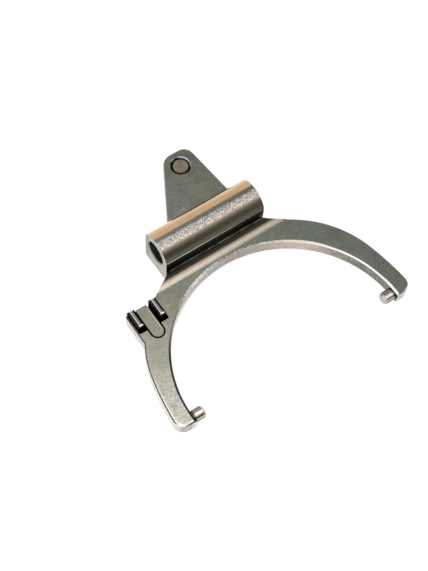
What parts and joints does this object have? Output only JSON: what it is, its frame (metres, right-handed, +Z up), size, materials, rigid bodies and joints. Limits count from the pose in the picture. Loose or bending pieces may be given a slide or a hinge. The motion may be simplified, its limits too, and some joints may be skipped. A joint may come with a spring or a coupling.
{
  "type": "differential shift fork",
  "caption": "Flat steel fork with a bored boss across its crown, a stub on each arm, a notched lug and a tapering tab with a pressed pin.",
  "frame": {"origin": "middle of the boss's bore, on its axis", "axes": "+X along the bore, +Y from the mouth towards the tab, +Z up from the plate's flat underside"},
  "size_m": [0.1108, 0.1042, 0.0194],
  "materials": {
    "fork_steel": "forged and machined steel, satin, with light mottling and oil film",
    "pin_steel": "ground steel pin end, satin"
  },
  "bodies": {
    "root": {"shift_fork": "fork_steel", "lever_pin": "pin_steel"}
  },
  "joints": []
}
